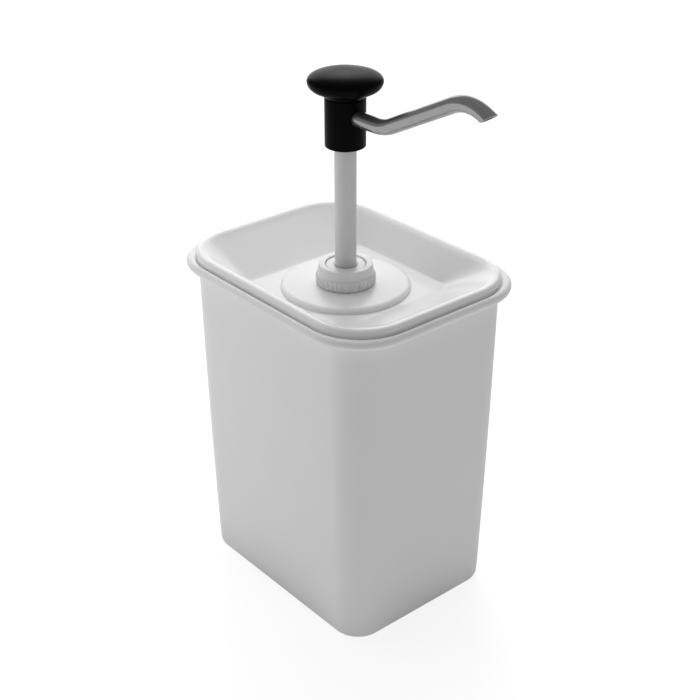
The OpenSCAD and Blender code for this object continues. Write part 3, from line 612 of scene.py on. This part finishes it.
def make_spout():
    sides = 64
    spout_z = HEAD_LOW + SPOUT_RISE
    climb, fall = math.radians(CLIMB), math.radians(FALL)
    start = Vector((SPOUT_RUN + BEND_UP_R * math.sin(climb), spout_z + BEND_UP_R * (1 - math.cos(climb))))
    end = start + CLIMB_L * Vector((math.cos(climb), math.sin(climb)))
    centre = end + BEND_DOWN_R * Vector((math.sin(climb), -math.cos(climb)))
    outlet = centre + BEND_DOWN_R * Vector((math.sin(fall), math.cos(fall)))
    slant = math.tan(math.radians(OUTLET_SLANT))
    outlet += (OUTLET_L + SPOUT_R * slant) * Vector((math.cos(fall), -math.sin(fall)))

    def ring(at, slope, r, skew=0.0):
        points = []
        for s in range(sides):
            a = 2 * math.pi * s / sides
            rise = r * math.sin(a)
            on = skew * rise
            x = at[0] - rise * math.sin(slope) + on * math.cos(slope)
            z = at[1] + rise * math.cos(slope) + on * math.sin(slope)
            points.append((x, r * math.cos(a), z))
        return points

    def course(r):
        root_steps, up_steps, climb_steps, down_steps = 6, 14, 12, 28
        rings = []
        for k in range(root_steps):
            at = (SPOUT_ROOT + (SPOUT_RUN - SPOUT_ROOT) * k / root_steps, spout_z)
            rings.append(ring(at, 0, r))
        for k in range(up_steps + 1):
            a = climb * k / up_steps
            at = (SPOUT_RUN + BEND_UP_R * math.sin(a), spout_z + BEND_UP_R * (1 - math.cos(a)))
            rings.append(ring(at, a, r))
        for k in range(1, climb_steps):
            at = start + (end - start) * k / climb_steps
            rings.append(ring(at, climb, r))
        for k in range(down_steps + 1):
            a = climb - (climb + fall) * k / down_steps
            at = centre + BEND_DOWN_R * Vector((-math.sin(a), math.cos(a)))
            rings.append(ring(at, a, r))
        return rings

    lip = 0.25
    lip_back = lip * Vector((math.cos(fall), -math.sin(fall)))
    rings = course(SPOUT_R) + [ring(outlet - lip_back, -fall, SPOUT_R, slant)]
    rings += [ring(outlet, -fall, SPOUT_R - lip, slant), ring(outlet, -fall, SPOUT_BORE_R + lip, slant)]
    rings += [ring(outlet - lip_back, -fall, SPOUT_BORE_R, slant)] + course(SPOUT_BORE_R)[::-1]
    return loft("spout_tube", rings, closed=True, sharp=50)


placed(make_spout(), "spout", "spout_steel", "plunger")


# Return spring: round wire with a closed turn at each end


def make_spring():
    sides, per_turn = 12, 36
    foot = SPRING_LOW + SPRING_WIRE_R
    head = SPRING_HIGH - SPRING_WIRE_R - SPRING_HEAD_GAP
    pitch = (head - foot - 2 * SPRING_END_PITCH) / SPRING_TURNS
    rings = []
    for k in range((SPRING_TURNS + 2) * per_turn + 1):
        turn = k / per_turn
        z = foot + min(turn, 1) * SPRING_END_PITCH
        z += min(max(turn - 1, 0), SPRING_TURNS) * pitch
        z += max(turn - 1 - SPRING_TURNS, 0) * SPRING_END_PITCH
        a = 2 * math.pi * turn
        ring = []
        for s in range(sides):
            b = 2 * math.pi * s / sides
            r = SPRING_MEAN_R + SPRING_WIRE_R * math.cos(b)
            ring.append((r * math.cos(a), r * math.sin(a), z + SPRING_WIRE_R * math.sin(b)))
        rings.append(ring)
    return loft("return_spring_wire", rings, sharp=60)


spring = placed(make_spring(), "return_spring", "spring_steel", "lid_set")
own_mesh(spring)


# Inner pieces keep their CAD shapes and get their finishes

for part in frame["record"]["subparts"]:
    node = cad_nodes[part["node"]]
    for material_slot in node.material_slots:
        material_slot.material = materials[part["material_slot"]]


# Floor, light and camera


def make_floor():
    """A pale floor: the camera sees it near white with a faint shadow. Other rays see a glowing card,
    painted light with a painted shadow that turns darker towards the tub; its distance is counted in half
    widths of the tub."""
    mesh = bpy.data.meshes.new("floor")
    corners = [(-FLOOR_SIZE, -FLOOR_SIZE), (FLOOR_SIZE, -FLOOR_SIZE),
               (FLOOR_SIZE, FLOOR_SIZE), (-FLOOR_SIZE, FLOOR_SIZE)]
    mesh.from_pydata([(x, y, -FLOOR_DROP) for x, y in corners], [], [(0, 1, 2, 3)])
    obj = bpy.data.objects.new("floor", mesh)
    bpy.context.scene.collection.objects.link(obj)
    material = bpy.data.materials.new("floor")
    material.use_nodes = True
    tree = material.node_tree
    tree.nodes.clear()
    output = tree.nodes.new("ShaderNodeOutputMaterial")
    path = tree.nodes.new("ShaderNodeLightPath")
    glow = tree.nodes.new("ShaderNodeEmission")
    glow.inputs["Strength"].default_value = FLOOR_GLOW
    shade = tree.nodes.new("ShaderNodeBsdfDiffuse")
    shade.inputs["Color"].default_value = (FLOOR_TONE, FLOOR_TONE, FLOOR_TONE, 1)
    place = tree.nodes.new("ShaderNodeMapping")
    place.inputs["Scale"].default_value = (2 / (TUB_W * MM), 2 / (TUB_D * MM), 0)
    reach = tree.nodes.new("ShaderNodeVectorMath")
    reach.operation = "LENGTH"
    coordinates = tree.nodes.new("ShaderNodeTexCoord").outputs["Object"]
    tree.links.new(coordinates, place.inputs["Vector"])
    tree.links.new(place.outputs["Vector"], reach.inputs[0])
    # Painted light for other rays: a glowing card with a painted shadow, darker near the tub
    card = tree.nodes.new("ShaderNodeEmission")
    painted_shade_falloff = spread(tree, reach.outputs["Value"], CARD_PAINTED_SHADE, CARD_PAINTED_LIGHT, CARD_NEAR, CARD_FAR)
    tree.links.new(painted_shade_falloff, card.inputs["Strength"])
    seen = tree.nodes.new("ShaderNodeAddShader")
    mix = tree.nodes.new("ShaderNodeMixShader")
    tree.links.new(glow.outputs[0], seen.inputs[0])
    tree.links.new(shade.outputs[0], seen.inputs[1])
    tree.links.new(path.outputs["Is Camera Ray"], mix.inputs["Fac"])
    tree.links.new(card.outputs[0], mix.inputs[1])
    tree.links.new(seen.outputs[0], mix.inputs[2])
    tree.links.new(mix.outputs[0], output.inputs["Surface"])
    mesh.materials.append(material)


def make_world():
    """An even fill light and a dim room for mirrors; the camera sees plain white."""
    world = bpy.data.worlds.new("studio")
    bpy.context.scene.world = world
    world.use_nodes = True
    tree = world.node_tree
    tree.nodes.clear()
    output = tree.nodes.new("ShaderNodeOutputWorld")
    path = tree.nodes.new("ShaderNodeLightPath")
    backgrounds = []
    for strength in (ROOM_FILL, ROOM_DIM, 1.0):
        background = tree.nodes.new("ShaderNodeBackground")
        background.inputs["Color"].default_value = (1, 1, 1, 1)
        background.inputs["Strength"].default_value = strength
        backgrounds.append(background)
    fill, mirrored, white = backgrounds
    shown = fill
    for ray, background in (("Is Glossy Ray", mirrored), ("Is Camera Ray", white)):
        mix = tree.nodes.new("ShaderNodeMixShader")
        tree.links.new(path.outputs[ray], mix.inputs["Fac"])
        tree.links.new(shown.outputs[0], mix.inputs[1])
        tree.links.new(background.outputs[0], mix.inputs[2])
        shown = mix
    tree.links.new(shown.outputs[0], output.inputs["Surface"])


def softbox(name, turn, tilt, distance, width, height, strength, mirrored):
    """A soft lamp at a turn from the camera's side and a tilt above the floor, in degrees. Its
    strength is its brightness; mirrors show it only where it says so."""
    light = bpy.data.lights.new(name, "AREA")
    light.shape = "RECTANGLE"
    light.size = width
    light.size_y = height
    light.energy = strength * math.pi * width * height
    obj = bpy.data.objects.new(name, light)
    a = AZIMUTH + math.radians(turn)
    e = math.radians(tilt)
    away = Vector((math.sin(a) * math.cos(e), -math.cos(a) * math.cos(e), math.sin(e)))
    obj.location = Vector((0, 0, LAMP_AIM_Z)) + away * distance
    obj.rotation_euler = (-away).to_track_quat("-Z", "Y").to_euler()
    obj.visible_glossy = mirrored
    bpy.context.scene.collection.objects.link(obj)


make_floor()
make_world()
softbox("top_light", 180, 76, 1.4, 1.0, 1.0, 2.4, False)
softbox("back_light", 180, 43, 1.5, 0.5, 0.4, 10.0, False)
softbox("back_panel", 180, 18, 1.5, 1.6, 1.2, 1.3, True)
softbox("left_light", -95, 10, 0.45, 0.3, 0.3, 1.5, False)
softbox("far_left_light", -125, 25, 1.2, 0.7, 0.7, 0.9, False)

camera_data = bpy.data.cameras.new("camera")
camera = bpy.data.objects.new("camera", camera_data)
bpy.context.scene.collection.objects.link(camera)
back = Vector((
    math.sin(AZIMUTH) * math.cos(ELEVATION),
    -math.cos(AZIMUTH) * math.cos(ELEVATION),
    math.sin(ELEVATION),
))
camera.location = Vector((0, 0, CAMERA_AIM_Z)) + back * CAMERA_DISTANCE
camera.rotation_euler = (-back).to_track_quat("-Z", "Y").to_euler()
camera.rotation_euler.rotate_axis("Z", CAMERA_ROLL)
camera_data.sensor_width = 36.0
camera_data.lens = CAMERA_LENS
camera_data.shift_x = CAMERA_SHIFT_X
camera_data.shift_y = CAMERA_SHIFT_Y
camera_data.clip_start = 0.05
camera_data.clip_end = 50.0
bpy.context.scene.camera = camera
bpy.context.scene.view_settings.view_transform = "Standard"
